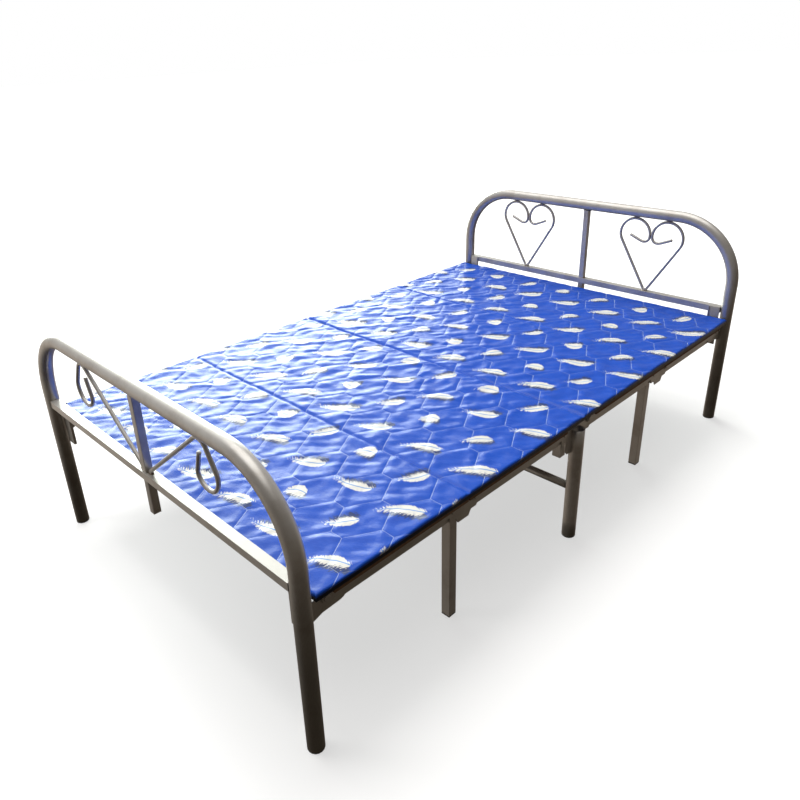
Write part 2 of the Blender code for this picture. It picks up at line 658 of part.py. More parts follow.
def main():
    """Make the empties on the joint axes, then every piece."""
    clear_scene()
    looks = {
        "silver": material("silver_paint", (0.56, 0.54, 0.51), 0.32, 0.85),
        "rubber": material("black_rubber", (0.02, 0.02, 0.02), 0.75),
        "board": material("hardboard", (0.30, 0.19, 0.11), 0.8),
        "pad": material("blue_quilt", (0.02, 0.10, 0.55), 0.6),
    }
    body("middle_stand", None, (0, 0, 0))
    for sign, end, inner, outer in ((-1, "foot", 2, 1), (1, "head", 3, 4)):
        quarter = f"quarter_legs_{end}"
        body(f"section_{inner}", "middle_stand", (sign * PIVOT_END, 0, RAIL_Z))
        body(quarter, f"section_{inner}", (sign * (QUARTER_X - PIVOT_QUARTER), 0, RAIL_Z))
        body(f"section_{outer}", quarter, (sign * (QUARTER_X + PIVOT_QUARTER), 0, RAIL_Z))
        body(f"{end}_frame", f"section_{outer}", (sign * (HALF_L - PIVOT_END), 0, RAIL_Z))
        body(f"link_{inner}", "middle_stand", (sign * PIVOT_END, 0, LINK_Z))
        body(f"link_{outer}", quarter, (sign * (QUARTER_X + PIVOT_QUARTER), 0, LINK_Z))
        build_section(inner, sign, looks)
        build_section(outer, sign, looks)
        build_quarter_legs(end, sign, looks)
    build_end_frame("foot", -1, FOOT_TOP, FOOT_BEND, looks)
    build_end_frame("head", 1, HEAD_TOP, HEAD_BEND, looks)
    build_hearts(HALF_L, looks["silver"])
    build_scrolls(-HALF_L, looks["silver"])
    build_middle_stand(looks)


main()
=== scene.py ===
"""Looks of the folding guest bed: quilted top, silver tube work, welds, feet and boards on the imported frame.

Metres, +Z up.  +X runs from the foot frame to the head frame and the near side is -Y.
"""
from __future__ import annotations

import json
import logging
import math
from dataclasses import dataclass, field
from enum import Enum

import bmesh
import bpy
import numpy as np
from mathutils import Matrix, Vector

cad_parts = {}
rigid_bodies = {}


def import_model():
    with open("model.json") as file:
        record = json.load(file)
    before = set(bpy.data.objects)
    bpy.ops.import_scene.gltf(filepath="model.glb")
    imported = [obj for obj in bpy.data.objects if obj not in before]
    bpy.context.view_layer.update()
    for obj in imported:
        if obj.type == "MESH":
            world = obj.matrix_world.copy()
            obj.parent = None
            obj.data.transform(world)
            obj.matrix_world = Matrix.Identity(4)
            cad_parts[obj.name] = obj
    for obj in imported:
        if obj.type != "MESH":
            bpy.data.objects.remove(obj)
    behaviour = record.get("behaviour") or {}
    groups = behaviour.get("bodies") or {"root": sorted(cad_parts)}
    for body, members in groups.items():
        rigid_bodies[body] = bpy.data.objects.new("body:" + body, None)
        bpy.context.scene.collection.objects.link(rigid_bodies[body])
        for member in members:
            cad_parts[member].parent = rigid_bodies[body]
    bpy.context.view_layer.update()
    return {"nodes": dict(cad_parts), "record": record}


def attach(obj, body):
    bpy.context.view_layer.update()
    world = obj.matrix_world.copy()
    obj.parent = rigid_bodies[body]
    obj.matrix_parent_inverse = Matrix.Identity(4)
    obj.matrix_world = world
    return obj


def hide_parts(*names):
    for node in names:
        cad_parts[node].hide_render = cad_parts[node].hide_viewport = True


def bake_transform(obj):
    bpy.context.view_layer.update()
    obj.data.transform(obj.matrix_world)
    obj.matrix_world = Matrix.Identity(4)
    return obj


LOG = logging.getLogger("guest_bed")
Array = np.ndarray
ALONG = np.array([1.0, 0.0, 0.0])
TOUCH = 0.0003            # gap between pieces that touch


class Side(Enum):
    """The two long sides of the bed."""

    NEAR = -1
    FAR = 1


class End(Enum):
    """The two ends of the bed."""

    FOOT = -1
    HEAD = 1


# ---------------------------------------------------------------- node material helper
class Wiring:
    """A node tree being wired up."""

    def __init__(self, tree: bpy.types.NodeTree) -> None:
        """Take the tree's nodes and links."""
        self.nodes, self.links = tree.nodes, tree.links

    def put(self, socket: bpy.types.NodeSocket, value: object) -> None:
        """Link a socket or set a plain value."""
        if isinstance(value, bpy.types.NodeSocket):
            self.links.new(value, socket)
        else:
            socket.default_value = value

    def math(self, operation: str, *values: object) -> bpy.types.NodeSocket:
        """One Math node; returns its value."""
        node = self.nodes.new("ShaderNodeMath")
        node.operation = operation
        for socket, value in zip(node.inputs, values):
            self.put(socket, value)
        return node.outputs[0]

    def ramp(self, value: object, low: float, high: float, out_low: float = 0.0,
             out_high: float = 1.0) -> bpy.types.NodeSocket:
        """Smooth step of a value between two limits; returns the mapped value."""
        node = self.nodes.new("ShaderNodeMapRange")
        node.interpolation_type = "SMOOTHSTEP"
        for socket, item in zip(node.inputs, (value, low, high, out_low, out_high)):
            self.put(socket, item)
        return node.outputs[0]

    def mix(self, share: object, first: object, second: object) -> bpy.types.NodeSocket:
        """Mix two colours; returns the colour."""
        node = self.nodes.new("ShaderNodeMix")
        node.data_type = "RGBA"
        self.put(node.inputs[0], share)
        self.put(node.inputs[6], colour4(first))
        self.put(node.inputs[7], colour4(second))
        return node.outputs[2]

    def place(self, scale: tuple[float, float, float], turn: float = 0.0,
              uv: bool = False) -> bpy.types.NodeSocket:
        """Scaled and turned Object or UV coordinates; returns the vector."""
        where = self.nodes.new("ShaderNodeTexCoord").outputs["UV" if uv else "Object"]
        mapping = self.nodes.new("ShaderNodeMapping")
        mapping.vector_type = "TEXTURE"
        mapping.inputs["Rotation"].default_value = (0, 0, turn)
        mapping.inputs["Scale"].default_value = tuple(1.0 / s for s in scale)
        self.links.new(where, mapping.inputs["Vector"])
        return mapping.outputs[0]

    def noise(self, vector: object, detail: float = 2.0, rough: float = 0.5) -> bpy.types.NodeSocket:
        """Noise at scale 1 on a vector; returns its value."""
        node = self.nodes.new("ShaderNodeTexNoise")
        self.put(node.inputs["Vector"], vector)
        node.inputs["Scale"].default_value = 1.0
        node.inputs["Detail"].default_value = detail
        node.inputs["Roughness"].default_value = rough
        return node.outputs[0]

    def fields(self, name: str) -> tuple[bpy.types.NodeSocket, ...]:
        """Three channels and the alpha of a stored attribute."""
        node = self.nodes.new("ShaderNodeAttribute")
        node.attribute_name = name
        split = self.nodes.new("ShaderNodeSeparateXYZ")
        self.links.new(node.outputs["Vector"], split.inputs[0])
        return (*split.outputs[:3], node.outputs["Alpha"])

    def bump(self, height: object, distance: float, strength: float = 1.0,
             before: object = None) -> bpy.types.NodeSocket:
        """Bump from a height; returns the normal."""
        node = self.nodes.new("ShaderNodeBump")
        node.inputs["Strength"].default_value = strength
        node.inputs["Distance"].default_value = distance
        self.put(node.inputs["Height"], height)
        if before is not None:
            self.links.new(before, node.inputs["Normal"])
        return node.outputs[0]


class Shade(Wiring):
    """A material being wired up around one Principled shader."""

    def __init__(self, name: str) -> None:
        """Start a material with only a Principled shader and an output."""
        self.material = bpy.data.materials.new(name)
        self.material.use_nodes = True
        super().__init__(self.material.node_tree)
        self.shader = self.nodes["Principled BSDF"]

    def surface(self, **values: object) -> None:
        """Set Principled inputs; an underscore in a name stands for a space."""
        for name, value in values.items():
            self.put(self.shader.inputs[name.replace("_", " ")], value)


def colour4(value: object) -> object:
    """Give a three-number colour its alpha, and pass anything else on."""
    if isinstance(value, tuple) and len(value) == 3:
        return (*value, 1.0)
    return value


# ---------------------------------------------------------------- finishes
@dataclass(frozen=True)
class SilverPaint:
    """Sprayed silver paint on steel: fine flake, orange peel and faint handling marks."""

    colour: tuple[float, float, float] = (0.56, 0.54, 0.51)
    worn: tuple[float, float, float] = (0.38, 0.34, 0.30)
    roughness: float = 0.34

    def material(self) -> bpy.types.Material:
        """Make the paint.

        Returns:
            The material, on Object coordinates.
        """
        shade = Shade("silver_paint")
        clouds = shade.noise(shade.place((14, 14, 14)), 5.0, 0.6)
        flake = shade.noise(shade.place((1500, 1500, 1500)), 1.0)
        peel = shade.noise(shade.place((260, 260, 260)), 2.0)
        scuff = shade.noise(shade.place((60, 60, 500)), 3.0, 0.7)
        dull = shade.ramp(clouds, 0.42, 0.72)
        base = shade.mix(shade.math("MULTIPLY", dull, 0.55), self.colour, self.worn)
        base = shade.mix(shade.math("MULTIPLY", shade.ramp(flake, 0.55, 0.75), 0.35), base,
                         (0.74, 0.72, 0.70))
        rough = shade.math("ADD", shade.math("MULTIPLY", clouds, 0.18), self.roughness - 0.08)
        rough = shade.math("ADD", rough, shade.ramp(scuff, 0.62, 0.74, 0.0, 0.16))
        normal = shade.bump(peel, 0.00012, 0.6)
        shade.surface(Base_Color=base, Roughness=rough, Metallic=0.68, Coat_Weight=0.15,
                      Coat_Roughness=0.22, Normal=shade.bump(flake, 0.00004, 0.4, normal))
        return shade.material


@dataclass(frozen=True)
class WeldMetal:
    """Grey-brown weld beads under the same silver paint."""

    colour: tuple[float, float, float] = (0.36, 0.32, 0.28)

    def material(self) -> bpy.types.Material:
        """Make the painted weld.

        Returns:
            The material.
        """
        shade = Shade("painted_weld")
        lumps = shade.noise(shade.place((420, 420, 420)), 3.0, 0.6)
        base = shade.mix(shade.ramp(lumps, 0.4, 0.65), (0.20, 0.15, 0.11), self.colour)
        shade.surface(Base_Color=base, Roughness=0.45, Metallic=0.7, Normal=shade.bump(lumps, 0.0008))
        return shade.material


@dataclass(frozen=True)
class BlackRubber:
    """Moulded black rubber with a dusty lower edge."""

    colour: tuple[float, float, float] = (0.016, 0.015, 0.014)
    dust: tuple[float, float, float] = (0.10, 0.09, 0.08)
    dust_top: float = 0.016

    def material(self) -> bpy.types.Material:
        """Make the rubber.

        Returns:
            The material.
        """
        shade = Shade("black_rubber")
        height = shade.nodes.new("ShaderNodeSeparateXYZ")
        shade.links.new(shade.nodes.new("ShaderNodeTexCoord").outputs["Object"], height.inputs[0])
        speck = shade.noise(shade.place((900, 900, 900)), 3.0, 0.6)
        low = shade.ramp(height.outputs[2], 0.0, self.dust_top, 1.0, 0.0)
        share = shade.math("MULTIPLY", shade.math("MULTIPLY", low, speck), 0.7)
        shade.surface(Base_Color=shade.mix(share, self.colour, self.dust),
                      Roughness=shade.math("ADD", 0.55, shade.math("MULTIPLY", speck, 0.2)),
                      Specular_IOR_Level=0.4, Normal=shade.bump(speck, 0.0001, 0.7))
        return shade.material


@dataclass(frozen=True)
class Hardboard:
    """Brown pressed fibre board with a mesh-like back."""

    colour: tuple[float, float, float] = (0.23, 0.125, 0.06)
    dark: tuple[float, float, float] = (0.11, 0.055, 0.026)

    def material(self) -> bpy.types.Material:
        """Make the board.

        Returns:
            The material.
        """
        shade = Shade("hardboard")
        fibre = shade.noise(shade.place((90, 320, 320)), 6.0, 0.65)
        blotch = shade.noise(shade.place((9, 9, 9)), 3.0)
        share = shade.math("MULTIPLY", shade.ramp(fibre, 0.35, 0.65), 0.7)
        share = shade.math("ADD", share, shade.math("MULTIPLY", blotch, 0.25))
        base = shade.mix(share, self.colour, self.dark)
        shade.surface(Base_Color=base, Roughness=0.78, Normal=shade.bump(fibre, 0.0003, 0.8))
        return shade.material


@dataclass(frozen=True)
class QuiltSatin:
    """Royal-blue printed satin: cream feathers with printed grey shadows, white quilting thread, and painted
    shade: near-black navy on the cloth's sides below the top.
    """

    blue: tuple[float, float, float] = (0.003, 0.052, 0.34)
    deep: tuple[float, float, float] = (0.0015, 0.032, 0.25)
    # painted shade: near-black navy standing in for the shade on the quilt's sides
    painted_side_shade: tuple[float, float, float] = (0.001, 0.003, 0.012)
    cream: tuple[float, float, float] = (0.46, 0.45, 0.41)
    grey: tuple[float, float, float] = (0.018, 0.026, 0.060)
    quill: tuple[float, float, float] = (0.04, 0.17, 0.42)
    thread: tuple[float, float, float] = (0.36, 0.42, 0.52)
    # height below which the sides take the painted shade
    painted_shade_from: float = 0.383

    def material(self, pitch: float) -> bpy.types.Material:
        """Make the print.

        Args:
            pitch: spacing of the quilting lines in metres, for the width of the thread.

        Returns:
            The material; it reads the cloth's own UV map, in metres, and the stored print fields.
        """
        shade = Shade("quilt_satin")
        feather, shadow, rib, fringe = shade.fields("feathers")
        strong, faint, along, _ = shade.fields("stitches")
        slant = shade.math("ADD", along, shade.math("MULTIPLY", shade.math("ABSOLUTE", rib), -0.75))
        streak = shade.nodes.new("ShaderNodeCombineXYZ")
        shade.put(streak.inputs[0], shade.math("MULTIPLY", slant, 0.30))
        shade.put(streak.inputs[1], shade.math("MULTIPLY", rib, 0.055))
        barb = shade.noise(streak.outputs[0], 3.0, 0.72)
        curl = shade.noise(shade.place((240, 240, 1), 0.0, True), 3.0, 0.6)
        frayed = shade.math("MULTIPLY", shade.math("SUBTRACT", barb, 0.52), fringe)
        edge = shade.math("ADD", feather, shade.math("MULTIPLY", frayed, 60.0))
        plume = shade.ramp(edge, 0.35, -0.35)
        dark_edge = shade.math("ADD", shadow, shade.math("MULTIPLY", frayed, 50.0))
        dark = shade.math("MULTIPLY", shade.ramp(dark_edge, 0.5, -0.5), 0.86)
        weave = shade.noise(shade.place((30, 30, 1), 0.0, True), 4.0)
        base = shade.mix(weave, self.deep, self.blue)
        base = shade.mix(dark, base, self.grey)
        veins = shade.math("MULTIPLY", shade.ramp(barb, 0.55, 0.63),
                           shade.ramp(feather, -6.0, 0.0, 0.35, 0.9))
        spine = shade.ramp(shade.math("ABSOLUTE", shade.math("ADD", rib, shade.math("MULTIPLY", curl, 1.0))),
                           2.0, 1.0, 0.0, 0.9)
        cream = shade.mix(shade.math("MAXIMUM", veins, spine), self.cream, self.quill)
        base = shade.mix(plume, base, cream)

        def thread(position: bpy.types.NodeSocket, width: float, weight: float) -> bpy.types.NodeSocket:
            """Share of thread on the whole-number lines of a position field."""
            off = shade.math("ABSOLUTE", shade.math("SUBTRACT", shade.math("FRACT", shade.math(
                "ADD", position, 0.5)), 0.5))
            line = shade.ramp(shade.math("MULTIPLY", off, pitch), width, width * 0.45)
            dash = shade.nodes.new("ShaderNodeTexWave")
            shade.put(dash.inputs["Vector"], shade.place((190, 120, 1), 0.0, True))
            dash.inputs["Scale"].default_value = 1.0
            gap = shade.ramp(dash.outputs[1], 0.20, 0.60, 0.30, 1.0)
            return shade.math("MULTIPLY", shade.math("MULTIPLY", line, gap), weight)

        sewn = shade.math("MAXIMUM", thread(strong, 0.00085, 0.80), thread(faint, 0.00065, 0.36))
        base = shade.mix(sewn, base, self.thread)
        # Painted shade: below the top the cloth's sides fade to near-black navy, for the shade that falls on
        # them.
        height = shade.nodes.new("ShaderNodeSeparateXYZ")
        shade.put(height.inputs[0], shade.nodes.new("ShaderNodeTexCoord").outputs["Object"])
        painted_shade_share = shade.ramp(height.outputs[2], self.painted_shade_from, self.painted_shade_from - 0.004)
        base = shade.mix(painted_shade_share, base, self.painted_side_shade)
        rough = shade.math("ADD", 0.25, shade.math("MULTIPLY", weave, 0.10))
        rough = shade.math("ADD", rough, shade.math("MULTIPLY", sewn, 0.2))
        twill = shade.nodes.new("ShaderNodeTexWave")
        shade.put(twill.inputs["Vector"], shade.place((900, 520, 1), 0.0, True))
        crinkle = shade.noise(shade.place((95, 60, 1), 0.5, True), 5.0, 0.62)
        normal = shade.bump(crinkle, 0.0011, 0.55)
        normal = shade.bump(twill.outputs[1], 0.00006, 0.35, normal)
        normal = shade.bump(sewn, 0.0005, 0.7, normal)
        shade.surface(Base_Color=base, Roughness=rough, Sheen_Weight=0.02, Sheen_Roughness=0.3,
                      Sheen_Tint=(0.62, 0.76, 1.0, 1.0), Specular_IOR_Level=0.30, Normal=normal)
        return shade.material


# ---------------------------------------------------------------- surfaces
def mesh_piece(name: str, points: Array, faces: Array, material: bpy.types.Material,
               body: str, nodes: tuple[str, ...] = ()) -> bpy.types.Object:
    """Put whole arrays into a mesh and hang the piece on its body.

    Args:
        name: the piece's name.
        points: vertex places, one row each.
        faces: vertex numbers, one row for each four-cornered face.
        material: its finish.
        body: the CAD body it rides on, or an empty string to leave it on no body.
        nodes: the CAD nodes it stands for.

    Returns:
        The new object.
    """
    mesh = bpy.data.meshes.new(name)
    mesh.from_pydata(points.tolist(), [], faces.tolist())
    mesh.validate()
    mesh.shade_smooth()
    mesh.materials.append(material)
    piece = bpy.data.objects.new(name, mesh)
    bpy.context.scene.collection.objects.link(piece)
    if body:
        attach(piece, body)
    if nodes:
        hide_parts(*nodes)
    LOG.info("%s: %d faces", name, len(mesh.polygons))
    return piece


def grid_faces(rows: int, columns: int, close_rows: bool = False, close_columns: bool = False) -> Array:
    """Faces of a grid of rows by columns of points, row by row.

    Args:
        rows: number of rows.
        columns: number of points in a row.
        close_rows: join the last row to the first.
        close_columns: join the last column to the first.

    Returns:
        One row of four vertex numbers for each face.
    """
    r = np.arange(rows if close_rows else rows - 1)[:, None]
    c = np.arange(columns if close_columns else columns - 1)[None, :]
    r2, c2 = (r + 1) % rows, (c + 1) % columns
    corners = [a * columns + b for a, b in ((r, c), (r, c2), (r2, c2), (r2, c))]
    return np.stack([np.broadcast_to(k, (len(r), c.shape[1])).ravel() for k in corners], axis=1)


def swept(path: Array, section: Array) -> Array:
    """Carry a closed section along a path in an upright plane across the bed.

    Each point = path + u * ALONG + v * (tangent x ALONG).

    Args:
        path: points of the path.
        section: (u, v) points of the closed section.

    Returns:
        Places by ring, point and axis.
    """
    tangent = np.gradient(path, axis=0)
    tangent /= np.linalg.norm(tangent, axis=1)[:, None]
    other = np.cross(tangent, ALONG)
    return (path[:, None, :] + section[None, :, :1] * ALONG[None, None, :]
            + section[None, :, 1:] * other[:, None, :])


def pipe(path: Array, section: Array, wall: float = 0.0) -> tuple[Array, Array]:
    """A swept tube with a wall, open at both ends, or a solid rod closed by shrunken end rings.

    Args:
        path: points of the path.
        section: (u, v) points of the outer section.
        wall: wall thickness, or 0 for a solid rod.

    Returns:
        Places and faces of the closed skin.
    """
    outer = swept(path, section)
    rings, sides = len(path), len(section)
    reach = np.abs(section).max()
    if wall:
        inner = swept(path, section * (1 - wall / reach))
        loop = np.concatenate([outer, inner[::-1]])
        return loop.reshape(-1, 3), grid_faces(2 * rings, sides, close_rows=True, close_columns=True)

    def cap(end: int, beside: int) -> list[Array]:
        """Two shrunken rings beyond one end of the path, the smaller one first."""
        out = (path[end] - path[beside]) / np.linalg.norm(path[end] - path[beside])
        middle = path[end] + out * reach * 0.25
        return [middle + (outer[end] - path[end]) * share for share in (0.02, 0.55)]

    loop = np.stack([*cap(0, 1), *outer, *cap(-1, -2)[::-1]])
    return loop.reshape(-1, 3), grid_faces(len(loop), sides, close_columns=True)


def circle(radius: float, sides: int = 40) -> Array:
    """(u, v) points of a circle."""
    angle = np.linspace(0, 2 * np.pi, sides, endpoint=False)
    return radius * np.stack([np.cos(angle), np.sin(angle)], axis=1)


def arc(centre: tuple[float, float], radius: float, start: float, end: float, steps: int) -> Array:
    """Points on an arc between two angles in degrees."""
    angle = np.radians(np.linspace(start, end, steps))
    return np.stack([centre[0] + radius * np.cos(angle), centre[1] + radius * np.sin(angle)], axis=1)


def in_plane(x: float, points: Array) -> Array:
    """Lift (y, z) points into the plane at x."""
    return np.column_stack([np.full(len(points), x), points])


def spaced(points: Array, step: float) -> Array:
    """Resample a polyline into equal runs of about one step."""
    lengths = np.linalg.norm(np.diff(points, axis=0), axis=1)
    at = np.concatenate([[0], np.cumsum(lengths)])
    even = np.linspace(0, at[-1], max(int(round(at[-1] / step)), 1) + 1)
    return np.column_stack([np.interp(even, at, points[:, k]) for k in range(points.shape[1])])


def rounded(points: Array, passes: int = 2) -> Array:
    """Soften a polyline's corners by averaging each inner point with its neighbours."""
    for _ in range(passes):
        points = np.concatenate([points[:1], (points[:-2] + 2 * points[1:-1] + points[2:]) / 4, points[-1:]])
    return points


# ---------------------------------------------------------------- metal work
@dataclass
class EndFrame:
    """Bowed tube end frame with its hearts or scrolls."""

    end: End
    tube: str
    top: float
    bend: float
    half_length: float = 0.940
    half_width: float = 0.5565
    tube_radius: float = 0.019
    wall: float = 0.0015
    crossbar_top: float = 0.421
    rod_radius: float = 0.005
    foot_gap: float = 0.0048
    heart_y: float = 0.258

    @property
    def x(self) -> float:
        """Plane of the frame."""
        return self.end.value * self.half_length

    @property
    def body(self) -> str:
        """The CAD body of the frame."""
        return f"{self.end.name.lower()}_frame"

    def build(self, paint: bpy.types.Material, weld: bpy.types.Material) -> None:
        """Make the tube, the ornaments and the weld beads.

        Args:
            paint: the silver paint.
            weld: the painted weld.
        """
        centre = self.half_width - self.bend
        left = arc((-centre, self.top - self.bend), self.bend, 180, 90, 28)
        right = arc((centre, self.top - self.bend), self.bend, 90, 0, 28)
        legs = np.array([[-self.half_width, self.foot_gap], [self.half_width, self.foot_gap]])
        path = in_plane(self.x, np.vstack([legs[:1], left, right, legs[1:]]))
        points, faces = pipe(path, circle(self.tube_radius, 48), self.wall)
        mesh_piece(f"{self.end.name.lower()}_bow", points, faces, paint, self.body, (self.tube,))
        for side in Side:
            route = self.heart() if self.end is End.HEAD else self.scroll()
            if self.end is End.HEAD:
                route = route + np.array([side.value * self.heart_y, 0])
            else:
                route = route * np.array([side.value, 1])
            kind = "heart" if self.end is End.HEAD else "scroll"
            name = f"{self.end.name.lower()}_{kind}_{side.name.lower()}"
            points, faces = pipe(in_plane(self.x, route), circle(self.rod_radius, 20))
            mesh_piece(name + "_rod", points, faces, paint, self.body, (name,))
        self.beads(weld)

    def heart(self) -> Array:
        """Closed heart with inner curls, as (offset, z) from its own middle.

        Returns:
            The rod's route from one curl's end over the lobe to the tip and back up the other side.
        """
        tip = self.crossbar_top + self.rod_radius + TOUCH
        crown = self.top - self.tube_radius - self.rod_radius - TOUCH
        lobe = (0.060, crown - 0.056)
        curl = (lobe[0] - 0.035, lobe[1] - 0.004)
        over = arc(lobe, 0.056, -22, 180, 40)
        under = arc(curl, 0.021, 180, 290, 18)
        half = np.vstack([[0.0055, tip], over, under[1:], [curl[0] + 0.052, curl[1] - 0.001]])
        half = rounded(spaced(half, 0.006), 2)
        return np.vstack([half[::-1] * np.array([-1, 1]), half])

    def scroll(self) -> Array:
        """Straight rod from the foot of the post that curls outwards under the top rail.

        Returns:
            (offset, z) points for the +Y side.
        """
        base = self.crossbar_top + self.rod_radius + TOUCH
        crown_z = self.top - self.tube_radius - self.rod_radius - TOUCH
        crown = arc((0.268, crown_z - 0.030), 0.030, 140, 50, 20)
        hook = arc((0.281, crown_z - 0.076), 0.041, 14, -158, 40)
        route = np.vstack([[0.017, base], crown, hook, [0.262, crown_z - 0.036]])
        return rounded(spaced(route, 0.006), 2)

    def beads(self, weld: bpy.types.Material) -> None:
        """Weld beads where rods, post and cross bar meet, as lumpy flattened drops.

        Args:
            weld: the painted weld.
        """
        crown = self.top - self.tube_radius
        spots = []
        for side in (-1, 1):
            if self.end is End.HEAD:
                spots += [(side * self.heart_y, self.crossbar_top, 0.011, 0.0045)]
                spots += [(side * self.heart_y + s * 0.060, crown - 0.001, 0.010, 0.004) for s in (-1, 1)]
                spots += [(side * self.heart_y, crown - 0.0600, 0.004, 0.0055)]
            else:
                spots += [(side * 0.0175, self.crossbar_top, 0.009, 0.0045)]
                spots += [(side * 0.268, crown - 0.001, 0.010, 0.004)]
            spots += [(side * 0.0105, z, 0.004, 0.004) for z in (crown - 0.001, self.crossbar_top)]
        shapes = [drop(np.array([self.x, y, z]), (0.0062, wide, tall), seed) for seed, (y, z, wide, tall)
                  in enumerate(spots)]
        points, faces = gathered(shapes)
        mesh_piece(f"{self.end.name.lower()}_weld_beads", points, faces, weld, self.body)


def drop(centre: Array, half: tuple[float, float, float], seed: int) -> tuple[Array, Array]:
    """A lumpy ellipsoid: radius times (1 + small waves), closed at poles by tiny rings.

    Args:
        centre: its middle.
        half: its half sizes.
        seed: which lumps it gets.

    Returns:
        Places and faces.
    """
    theta = np.linspace(0.02, np.pi - 0.02, 11)[:, None]
    phi = np.linspace(0, 2 * np.pi, 16, endpoint=False)[None, :]
    lump = 1 + 0.09 * np.sin(3 * phi + seed * 1.7) * np.sin(2 * theta) + 0.06 * np.cos(5 * phi - seed)
    unit = np.stack([np.sin(theta) * np.cos(phi), np.sin(theta) * np.sin(phi),
                     np.cos(theta) * np.ones_like(phi)], axis=-1)
    points = centre + unit * lump[..., None] * np.array(half)
    return points.reshape(-1, 3), grid_faces(11, 16, close_columns=True)[:, ::-1]


def gathered(shapes: list[tuple[Array, Array]]) -> tuple[Array, Array]:
    """Several shapes as one set of places and faces."""
    counts = np.cumsum([0] + [len(p) for p, _ in shapes])
    return (np.vstack([p for p, _ in shapes]),
            np.vstack([f + start for (_, f), start in zip(shapes, counts)]))


@dataclass
class Stand:
    """Middle stand's round legs and lower bar."""

    half_width: float = 0.5565
    tube_radius: float = 0.019
    wall: float = 0.0015
    foot_gap: float = 0.0048
    leg_top: float = 0.345
    bar_z: float = 0.160
    bar_radius: float = 0.011

    def build(self, paint: bpy.types.Material) -> None:
        """Make the legs and the bar.

        Args:
            paint: the silver paint.
        """
        for side in Side:
            path = np.array([[0, side.value * self.half_width, z]
                             for z in np.linspace(self.foot_gap, self.leg_top, 8)])
            points, faces = pipe(path, circle(self.tube_radius, 48), self.wall)
            name = f"stand_leg_{side.name.lower()}"
            mesh_piece(name + "_tube", points, faces, paint, "middle_stand", (name,))
        reach = self.half_width - self.tube_radius - TOUCH
        path = np.array([[0, y, self.bar_z] for y in np.linspace(-reach, reach, 12)])
        points, faces = pipe(path, circle(self.bar_radius, 32), self.wall)
        mesh_piece("stand_low_bar_tube", points, faces, paint, "middle_stand", ("stand_low_bar",))


def soften_plates(frame: dict, paint: bpy.types.Material, rubber: bpy.types.Material,
                  board: bpy.types.Material) -> None:
    """Stand-ins for the flat-sided CAD nodes, with rolled edges, and finishes for the rest.

    Args:
        frame: what the frame loader returned.
        paint: the silver paint.
        rubber: the black rubber.
        board: the brown board.
    """
    members = frame["record"]["behaviour"]["bodies"]
    body_of = {node: body for body, nodes in members.items() for node in nodes}
    for name, node in sorted(frame["nodes"].items()):
        if node.hide_render:
            continue
        if name.endswith("_board"):
            finish, slot, roll = board, "board", 0.0012
        elif "_cap_" in name:
            finish, slot, roll = rubber, "rubber", 0.0012
        else:
            finish, slot, roll = paint, "silver", 0.0009
        mesh = node.data.copy()
        piece = bpy.data.objects.new(name + "_fine", mesh)
        bpy.context.scene.collection.objects.link(piece)
        weld_loose(mesh)
        mesh.materials.clear()
        mesh.materials.append(finish)
        edge = piece.modifiers.new("rolled edge", "BEVEL")
        edge.width = roll
        edge.segments = 2
        edge.limit_method = "ANGLE"
        edge.angle_limit = math.radians(38)
        edge.harden_normals = False
        mesh.shade_smooth()
        mesh.set_sharp_from_angle(angle=math.radians(42))
        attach(piece, body_of[name])
        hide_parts(name)


def weld_loose(mesh: bpy.types.Mesh) -> None:
    """Merge a CAD node's loose triangles and melt its flat faces together."""
    work = bmesh.new()
    work.from_mesh(mesh)
    bmesh.ops.remove_doubles(work, verts=work.verts, dist=0.00002)
    bmesh.ops.dissolve_limit(work, angle_limit=math.radians(1.0), verts=work.verts, edges=work.edges)
    work.to_mesh(mesh)
    work.free()


